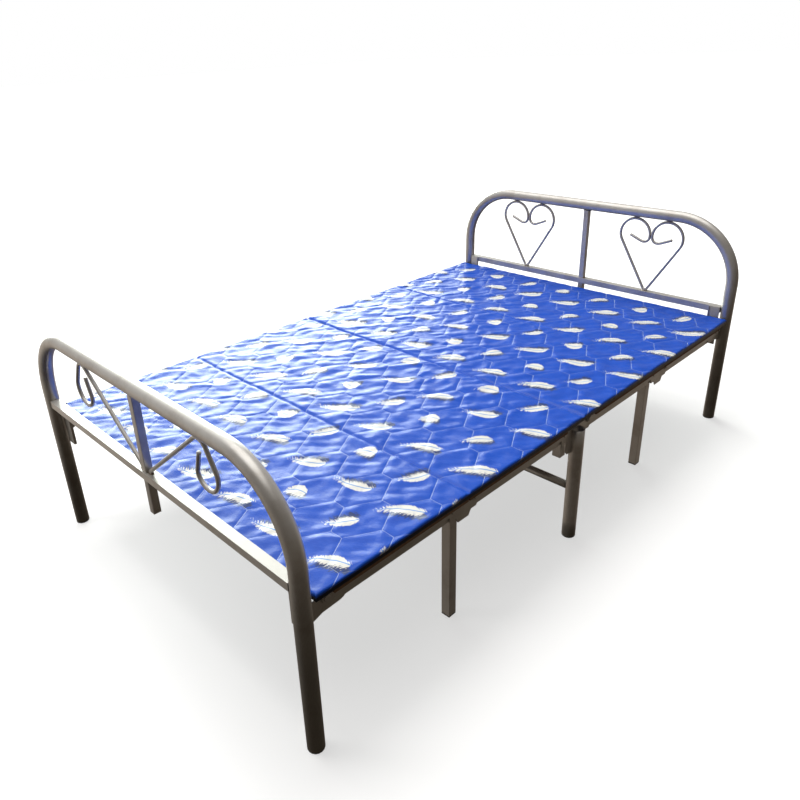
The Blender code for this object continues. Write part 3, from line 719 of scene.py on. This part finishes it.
# ---------------------------------------------------------------- quilt
@dataclass
class Quilt:
    """The quilted top: four padded panels and the cloth that crosses the folds between them."""

    satin: bpy.types.Material
    top: float = 0.3886
    bottom: float = 0.3721
    half_width: float = 0.5695
    edge_round: float = 0.005
    end_x: float = 0.916
    outer_fold: float = 0.510
    quarter: float = 0.470
    inner_fold: float = 0.430
    middle: float = 0.060
    cell: float = 0.0025
    under_points: int = 29
    column: float = 0.0745
    upright: float = 0.0335
    puff: float = 0.0015
    sim_step: float = 0.009
    sim_share: float = 0.38
    sim_pressure: float = 2.0
    sim_frames: int = 20
    feather_start: tuple[float, float] = (-0.1450, -0.0630)
    feather_column: float = 0.1085
    feather_row: float = 0.1560
    feather_turn: float = -62.0
    long_feather: tuple[float, float] = (0.043, 0.0142)
    short_feather: tuple[float, float] = (0.032, 0.0135)
    round_feather: tuple[float, float] = (0.025, 0.0195)
    sim: Array | None = field(default=None, repr=False)

    @property
    def pitch(self) -> float:
        """Spacing of the staircase quilting lines, square to them."""
        return self.column * math.sqrt(2)

    def staircase(self, x: Array, y: Array) -> Array:
        """Position between staircase quilting lines, whole numbers being on a line.

        With t along the diagonal and n across it, position = (n - zigzag(t)) / pitch, where zigzag falls over
        each slanting step and rises over each upright one.
        """
        t = (x + y) / math.sqrt(2)
        n = (y - x) / math.sqrt(2)
        rise = self.upright / math.sqrt(2)
        phase = np.mod(t, self.pitch)
        long_run = self.pitch - rise
        zigzag = np.where(phase < long_run, -rise * phase / long_run, -rise + (phase - long_run))
        return (n - zigzag) / self.pitch

    def stitches(self, x: Array, y: Array) -> tuple[Array, Array]:
        """The two families of quilting lines, which share their upright steps and make long hexagons."""
        x0, y0 = x + 0.2502, y + 0.1080
        strong = self.staircase(x0, y0 - self.upright)
        faint = self.staircase(x0, -y0)
        return strong, faint

    def thread_distance(self, x: Array, y: Array) -> Array:
        """Distance to the nearest quilting line, in metres."""
        gaps = [np.abs(s - np.round(s)) * self.pitch for s in self.stitches(x, y)]
        return np.minimum(gaps[0], gaps[1])

    def feathers(self, x: Array, y: Array) -> Array:
        """Print fields: distances to the outlines of feather and shadow, place across the quill, fraying and
        place along it.

        A feather is an ellipse bent along a parabola: with a along the quill and b across it, both in units
        of its half sizes, distance = half width * (sqrt(a^2 + b^2) - 1).  The nearest feather wins.  The
        print drifts a little towards the foot.
        """
        drift = np.clip((0.05 - x) / 0.6, 0, 1)
        x, y = x + 0.044 * drift, y - 0.017 * drift
        rng = np.random.default_rng(11)
        best, dark = np.full(x.shape, 1e3), np.full(x.shape, 1e3)
        rib, fringe, along = np.zeros(x.shape), np.zeros(x.shape), np.zeros(x.shape)
        for column in range(-9, 10):
            cx = self.feather_start[0] + column * self.feather_column
            for row in range(-5, 6):
                cy = self.feather_start[1] + (row + 0.5 * (column % 2)) * self.feather_row
                jitter = rng.uniform(-1, 1, 6)
                mixed = column % 2 == 1
                small = mixed and row % 2 == 0
                turn = math.radians(self.feather_turn + 9 * jitter[0] + (28 if mixed and not small else 0))
                half_long = self.long_feather[0] + 0.004 * jitter[1]
                half_wide = self.long_feather[1] + 0.0015 * jitter[2]
                if small:
                    half_long = self.round_feather[0] + 0.003 * jitter[1]
                    half_wide = self.round_feather[1]
                elif mixed:
                    half_long, half_wide = self.short_feather
                px, py = cx + 0.006 * jitter[3] - x, cy + 0.006 * jitter[4] - y
                a = (px * math.cos(turn) + py * math.sin(turn)) / half_long
                b = (-px * math.sin(turn) + py * math.cos(turn)) / half_wide
                bend = (0.35 if jitter[5] > 0 else -0.35) * (1 - a * a)
                b = b - bend
                taper = 1.0 - 0.28 * a
                out = (np.sqrt(a * a + (b / taper) ** 2) - 1) * half_wide * 1000
                fall = (0.5 if small else 0.85) * (1 if jitter[5] > 0 else -1)
                shade = (np.sqrt((a + 0.16) ** 2 + ((b + fall) / taper) ** 2) - 0.98) * half_wide * 1000
                nearer = out < best
                along = np.where(nearer, a * half_long * 1000, along)
                best = np.where(nearer, out, best)
                rib = np.where(nearer, b * half_wide * 1000, rib)
                ragged = np.clip(0.50 + 0.42 * a - 0.30 * b * np.sign(jitter[5]), 0.22, 1.0)
                fringe = np.where(nearer, ragged, fringe)
                dark = np.minimum(dark, shade)
        return np.stack([best, dark, rib, fringe, along], axis=-1)

    def height(self, x: Array, y: Array) -> Array:
        """Height of the top: simulated cloth, puffed between the threads, and creased over the folds."""
        gap = self.thread_distance(x, y)
        lift = self.puff * (1 - np.exp(-(gap / 0.010) ** 1.4)) - self.puff
        ripple = 0.0004 * np.sin(143 * (x * 0.5 + y) + 2.6 * np.sin(33 * x)) * np.sin(19 * y + 27 * x)
        creases = sum(depth * np.exp(-((x - at - 0.002 * np.sin(14 * y)) / 0.006) ** 2) for at, depth in (
            (-self.quarter, 0.0035), (0.003, 0.0045), (self.quarter, 0.0025)))
        return self.top + lift + ripple + self.wrinkles(x, y) - creases

    def wrinkles(self, x: Array, y: Array) -> Array:
        """Simulated lift at any place, read from the simulation's grid with a cubic filter."""
        if self.sim is None:
            return np.zeros_like(x)
        rows, columns = self.sim.shape
        u = (x + self.sim_half[0]) / (2 * self.sim_half[0]) * (rows - 1)
        v = (y + self.sim_half[1]) / (2 * self.sim_half[1]) * (columns - 1)
        i, j = np.floor(u).astype(int), np.floor(v).astype(int)

        def weights(t: Array) -> list[Array]:
            """Cubic B-spline weights of the four nearest grid lines."""
            return [(1 - t) ** 3 / 6, (3 * t ** 3 - 6 * t ** 2 + 4) / 6,
                    (-3 * t ** 3 + 3 * t ** 2 + 3 * t + 1) / 6, t ** 3 / 6]

        total = np.zeros_like(x)
        for p, wu in enumerate(weights(u - i)):
            for q, wv in enumerate(weights(v - j)):
                near = np.clip(i + p - 1, 0, rows - 1), np.clip(j + q - 1, 0, columns - 1)
                total += wu * wv * self.sim[near]
        return self.sim_share * total

    @property
    def sim_half(self) -> tuple[float, float]:
        """Half sizes of the simulated cloth."""
        return self.end_x + 0.012, self.half_width + 0.001

    def simulate(self) -> None:
        """Cloth held down along the quilting lines, a little larger than its outline, blown up from below.

        The settled lift of every grid point is kept in self.sim.
        """
        half_x, half_y = self.sim_half
        rows, columns = int(2 * half_x / self.sim_step), int(2 * half_y / self.sim_step)
        x, y = np.meshgrid(np.linspace(-half_x, half_x, rows), np.linspace(-half_y, half_y, columns),
                           indexing="ij")
        rng = np.random.default_rng(3)
        bunched = np.exp(-((x - 0.02) / 0.2) ** 2)
        waves = np.sin(70 * x + 40 * y + 3 * np.sin(20 * y))
        z = 0.00005 * rng.standard_normal(x.shape) + 0.002 * bunched * waves
        mesh = bpy.data.meshes.new("cloth_trial")
        mesh.from_pydata(np.stack([x, y, z], axis=-1).reshape(-1, 3).tolist(), [],
                         grid_faces(rows, columns).tolist())
        cloth = bpy.data.objects.new("cloth_trial", mesh)
        bpy.context.scene.collection.objects.link(cloth)
        held = np.exp(-(self.thread_distance(x, y) / 0.006) ** 2)
        border = (np.abs(x) > half_x - 0.013) | (np.abs(y) > half_y - 0.013)
        folds = (np.abs(np.abs(x) - self.quarter) < 0.006) | (np.abs(x - 0.003) < 0.005)
        held = np.where(border | folds, 1.0, held).ravel()
        sewn = cloth.vertex_groups.new(name="sewn")
        for weight in np.linspace(0.35, 1.0, 14):
            chosen = np.nonzero(np.abs(held - weight) <= 0.025)[0]
            sewn.add(chosen.tolist(), float(weight), "REPLACE")
        settings = cloth.modifiers.new("cloth", "CLOTH").settings
        settings.quality = 4
        settings.mass = 0.15
        settings.tension_stiffness = settings.compression_stiffness = 12
        settings.shear_stiffness = 6
        settings.bending_stiffness = 5
        settings.vertex_group_mass = "sewn"
        settings.use_pressure = True
        settings.uniform_pressure_force = self.sim_pressure
        settings.shrink_min = -0.02
        settings.effector_weights.gravity = 0
        for step in range(1, self.sim_frames + 1):
            bpy.context.scene.frame_set(step)
        settled = cloth.evaluated_get(bpy.context.evaluated_depsgraph_get())
        places = np.zeros(rows * columns * 3, np.float32)
        settled.data.vertices.foreach_get("co", places)
        self.sim = places.reshape(rows, columns, 3)[..., 2].astype(float)
        bpy.context.scene.frame_set(1)
        bpy.data.objects.remove(cloth, do_unlink=True)
        LOG.info("cloth settled between %.1f and %.1f mm", 1000 * self.sim.min(), 1000 * self.sim.max())

    def skirt(self) -> tuple[Array, Array, Array]:
        """How an edge rounds over and hangs down: reach outwards, drop, and length of cloth."""
        angle = np.linspace(0, np.pi / 2, 7)[1:]
        reach = np.concatenate([self.edge_round * np.sin(angle), np.full(6, self.edge_round)])
        fall = np.concatenate([self.edge_round * (1 - np.cos(angle)),
                               np.linspace(self.edge_round, self.top - self.bottom, 7)[1:]])
        return reach, fall, np.cumsum(np.hypot(np.diff(reach, prepend=0), np.diff(fall, prepend=0)))

    def profile(self, rows: int, closed: bool) -> tuple[Array, Array, Array]:
        """Section across the bed, from the far lower edge over the top to the near one.

        Args:
            rows: points across the flat top.
            closed: whether it comes back underneath.

        Returns:
            Cloth coordinate, y place, and how far each point drops below the top.
        """
        flat = self.half_width - self.edge_round
        across = np.linspace(-flat, flat, rows)
        reach, fall, run = self.skirt()
        cloth = np.concatenate([-(flat + run)[::-1], across, flat + run])
        place = np.concatenate([-(flat + reach)[::-1], across, flat + reach])
        drops = np.concatenate([fall[::-1], np.zeros(rows), fall])
        if closed:
            under = np.linspace(1, -1, self.under_points + 2)[1:-1]
            cloth = np.concatenate([cloth, (flat + run[-1]) * under])
            place = np.concatenate([place, self.half_width * under])
            drops = np.concatenate([drops, np.full(self.under_points, fall[-1])])
        return cloth, place, drops

    def strip(self, name: str, x_low: float, x_high: float, ends: tuple[bool, bool],
              closed: bool = False) -> bpy.types.Object:
        """One stretch of the quilt, with the print stored on it.

        Args:
            name: the piece's name.
            x_low: where it starts.
            x_high: where it ends.
            ends: whether its low and high ends are free edges that round over and hang down.
            closed: whether it is a pad, with walls at its ends and an underside.

        Returns:
            The object, not yet riding on anything.
        """
        columns = max(int(round((x_high - x_low) / self.cell)) + 1, 5)
        rows = int(round(2 * (self.half_width - self.edge_round) / self.cell)) + 1
        cloth, place, fall = self.profile(rows, closed)
        xs = np.linspace(x_low, x_high, columns)
        cloth_x, end_drop = xs.copy(), np.zeros(columns)
        for free, edge, sign in ((ends[0], x_low, -1), (ends[1], x_high, 1)):
            if free:
                reach, down, run = self.skirt()
                kept = sign * (edge - xs) > self.edge_round
                xs, end_drop, cloth_x = xs[kept], end_drop[kept], cloth_x[kept]
                more = (edge + sign * (reach - self.edge_round), down, edge + sign * (run - self.edge_round))
            elif closed:
                wall = np.linspace(0, self.top - self.bottom, 6)[1:]
                more = (np.full(5, edge), wall, edge + sign * wall)
            else:
                continue
            xs, end_drop, cloth_x = (np.concatenate([old, new] if sign > 0 else [new[::-1], old])
                                     for old, new in zip((xs, end_drop, cloth_x), more))
        u, v = np.meshgrid(cloth_x, cloth, indexing="ij")
        x, y = np.meshgrid(xs, place, indexing="ij")
        drop_x, drop_y = np.meshgrid(end_drop, fall, indexing="ij")
        sunk = np.maximum(drop_x, drop_y)
        free = np.clip(1 - sunk / self.edge_round, 0, 1)
        z = self.top - sunk + (self.height(u, v) - self.top) * free
        points = np.stack([x, y, z], axis=-1).reshape(-1, 3)
        faces = grid_faces(len(xs), len(place), close_columns=closed)
        piece = self.dressed(name, points, faces, u, v)
        if closed:
            piece.data.set_sharp_from_angle(angle=math.radians(50))
        return piece

    def dressed(self, name: str, points: Array, faces: Array, u: Array, v: Array) -> bpy.types.Object:
        """Make the mesh and store its cloth coordinates and print fields."""
        piece = mesh_piece(name, points, faces, self.satin, "")
        mesh = piece.data
        fields = self.feathers(u, v)
        strong, faint = self.stitches(u, v)
        sewn = np.stack([strong, faint, fields[..., 4], np.ones_like(strong)], axis=-1).reshape(-1, 4)
        for label, values in (("feathers", fields[..., :4]), ("stitches", sewn)):
            store = mesh.attributes.new(label, "FLOAT_COLOR", "POINT")
            store.data.foreach_set("color", values.astype(np.float32).ravel())
        layer = mesh.uv_layers.new(name="cloth")
        corner = np.zeros(len(mesh.loops), np.int32)
        mesh.loops.foreach_get("vertex_index", corner)
        flat = np.stack([u.ravel(), v.ravel()], axis=1)[corner]
        layer.data.foreach_set("uv", flat.astype(np.float32).ravel())
        return piece

    def build(self) -> None:
        panels = (
            ("quilt_panel_1", -self.end_x, -self.outer_fold, (True, False), "section_1"),
            ("quilt_panel_2", -self.inner_fold, -self.middle, (False, False), "section_2"),
            ("quilt_panel_3", self.middle, self.inner_fold, (False, False), "section_3"),
            ("quilt_panel_4", self.outer_fold, self.end_x, (False, True), "section_4"),
        )
        for name, low, high, ends, body in panels:
            piece = self.strip(name, low, high, ends, True)
            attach(piece, body)
            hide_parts(f"{body}_pad")
        crossings = (
            ("quilt_fold_foot_outer", -self.outer_fold, -self.quarter, "section_1", "quarter_legs_foot"),
            ("quilt_fold_foot_inner", -self.quarter, -self.inner_fold, "quarter_legs_foot", "section_2"),
            ("quilt_fold_middle_foot", -self.middle, 0.0, "section_2", "middle_stand"),
            ("quilt_fold_middle_head", 0.0, self.middle, "middle_stand", "section_3"),
            ("quilt_fold_head_inner", self.inner_fold, self.quarter, "section_3", "quarter_legs_head"),
            ("quilt_fold_head_outer", self.quarter, self.outer_fold, "quarter_legs_head", "section_4"),
        )
        for name, low, high, first, second in crossings:
            piece = self.strip(name, low, high, (False, False))
            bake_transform(piece)


# ---------------------------------------------------------------- studio
@dataclass
class Studio:
    """Camera, pale floor and soft light."""

    place: tuple[float, float, float] = (-1.5158, -1.3825, 1.2954)
    azimuth: float = -42.6365
    elevation: float = 24.7255
    roll: float = -2.7672
    lens: float = 31.996
    shift: tuple[float, float] = (0.0437, -0.0365)
    front_wall: tuple[float, float, float] = (0.11, 0.095, 0.08)
    back_wall: tuple[float, float, float] = (0.34, 0.335, 0.33)
    window: tuple[float, float, float] = (10.5, 11.6, 11.0)
    overhead: tuple[float, float, float] = (1.9, 1.88, 1.84)
    under: tuple[float, float, float] = (0.02, 0.016, 0.010)
    towards_back: tuple[float, float, float] = (0.42, 0.90, 0.0)
    towards_window: tuple[float, float, float] = (0.42, 0.903, 0.07)
    towards_ceiling: tuple[float, float, float] = (0.0, 0.17, 0.985)
    floor_half: float = 40.0
    front_ground: tuple[float, float, float] = (0.10, 0.08, 0.06)
    back_ground: tuple[float, float, float] = (0.50, 0.42, 0.35)

    def build(self) -> None:
        """Set up the camera, the floor, the world and the lights."""
        self.camera()
        self.floor()
        self.sky()
        self.lamp("skylight", (0.1, 0.9, 3.4), (0, 0.1, 0.4), (3.2, 2.4), 185, (1.0, 0.985, 0.96))
        self.lamp("doorway", (-2.3, 1.5, 0.8), (-0.94, 0.5, 0.3), (0.9, 1.3), 26, (1.0, 1.0, 0.98))
        bpy.context.scene.view_settings.view_transform = "Standard"

    def sky(self) -> None:
        """Room light: a window in a grey wall behind the bed, a dim wall in front, white to the lens.

        Each share is a smooth step of the direction's dot product with an axis: along the room for the two
        walls, towards the window and the ceiling for their rounds of light, and upward from ground to wall.
        """
        world = bpy.data.worlds.new("studio")
        bpy.context.scene.world = world
        world.use_nodes = True
        sky = Wiring(world.node_tree)
        where = sky.nodes.new("ShaderNodeTexCoord").outputs["Generated"]

        def slope(axis: tuple[float, float, float], low: float, high: float) -> bpy.types.NodeSocket:
            """Smooth step of the direction's dot product with an axis."""
            along = sky.nodes.new("ShaderNodeVectorMath")
            along.operation = "DOT_PRODUCT"
            sky.put(along.inputs[0], where)
            sky.put(along.inputs[1], axis)
            return sky.ramp(along.outputs["Value"], low, high)

        back = slope(self.towards_back, -0.6, 0.7)
        wall = sky.mix(back, self.front_wall, self.back_wall)
        wall = sky.mix(slope(self.towards_window, 0.865, 0.965), wall, self.window)
        wall = sky.mix(slope(self.towards_ceiling, 0.76, 0.93), wall, self.overhead)
        ground = sky.mix(back, self.front_ground, self.back_ground)
        low = sky.mix(slope((0, 0, 1), -0.85, -0.30), self.under, ground)
        background = sky.nodes["Background"]
        sky.put(background.inputs["Color"], sky.mix(slope((0, 0, 1), -0.30, 0.15), low, wall))
        plain = sky.nodes.new("ShaderNodeBackground")
        plain.inputs["Color"].default_value = (1, 1, 1, 1)
        seen = sky.nodes.new("ShaderNodeMixShader")
        camera_ray = sky.nodes.new("ShaderNodeLightPath").outputs["Is Camera Ray"]
        for socket, source in zip(seen.inputs, (camera_ray, background.outputs[0], plain.outputs[0])):
            sky.put(socket, source)
        sky.put(sky.nodes["World Output"].inputs["Surface"], seen.outputs[0])

    def camera(self) -> None:
        """Place the camera by azimuth, elevation and roll."""
        az, el, roll = (math.radians(a) for a in (self.azimuth, self.elevation, self.roll))
        back = Vector((math.sin(az) * math.cos(el), -math.cos(az) * math.cos(el), math.sin(el)))
        level = (-back).cross(Vector((0, 0, 1))).normalized()
        rise = level.cross(-back)
        right = level * math.cos(roll) + rise * math.sin(roll)
        up = rise * math.cos(roll) - level * math.sin(roll)
        lens = bpy.data.cameras.new("camera")
        lens.lens = self.lens
        lens.shift_x, lens.shift_y = self.shift
        camera = bpy.data.objects.new("camera", lens)
        turn = Matrix((right, up, back)).transposed().to_4x4()
        camera.matrix_world = Matrix.Translation(self.place) @ turn
        bpy.context.scene.collection.objects.link(camera)
        bpy.context.scene.camera = camera

    def floor(self) -> None:
        """A wide pale floor."""
        half = self.floor_half
        mesh = bpy.data.meshes.new("floor")
        corners = [(-half, -half, 0), (half, -half, 0), (half, half, 0), (-half, half, 0)]
        mesh.from_pydata(corners, [], [(0, 1, 2, 3)])
        shade = Shade("floor")
        reach = shade.nodes.new("ShaderNodeVectorMath")
        reach.operation = "LENGTH"
        shade.put(reach.inputs[0], shade.nodes.new("ShaderNodeTexCoord").outputs["Object"])
        glow = shade.ramp(reach.outputs["Value"], 1.1, 3.2, 0.56, 1.05)
        shade.surface(Base_Color=(0.36, 0.36, 0.36, 1), Roughness=0.9, Specular_IOR_Level=0.0,
                      Emission_Color=(1, 1, 1, 1), Emission_Strength=glow)
        mesh.materials.append(shade.material)
        floor = bpy.data.objects.new("floor", mesh)
        floor.visible_diffuse = floor.visible_glossy = False
        bpy.context.scene.collection.objects.link(floor)

    def lamp(self, name: str, place: tuple[float, float, float], aim: tuple[float, float, float],
             size: tuple[float, float], power: float, colour: tuple[float, float, float]) -> None:
        """One oblong soft light aimed at a point."""
        light = bpy.data.lights.new(name, "AREA")
        light.shape = "RECTANGLE"
        light.size, light.size_y = size
        light.energy = power
        light.color = colour
        lamp = bpy.data.objects.new(name, light)
        lamp.location = place
        lamp.rotation_euler = (Vector(aim) - Vector(place)).to_track_quat("-Z", "Y").to_euler()
        lamp.visible_glossy = False
        bpy.context.scene.collection.objects.link(lamp)


def main() -> None:
    """Load the frame, dress it and set up the studio."""
    logging.basicConfig(level=logging.INFO, format="%(name)s %(message)s")
    for item in list(bpy.data.objects):
        bpy.data.objects.remove(item, do_unlink=True)
    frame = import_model()
    Studio().build()
    paint = SilverPaint().material()
    weld = WeldMetal().material()
    EndFrame(End.FOOT, "foot_frame_tube", 0.637, 0.188).build(paint, weld)
    EndFrame(End.HEAD, "head_frame_tube", 0.705, 0.205).build(paint, weld)
    Stand().build(paint)
    quilt = Quilt(None)
    quilt.satin = QuiltSatin().material(quilt.pitch)
    quilt.simulate()
    quilt.build()
    soften_plates(frame, paint, BlackRubber().material(), Hardboard().material())


if __name__ == "__main__":
    main()
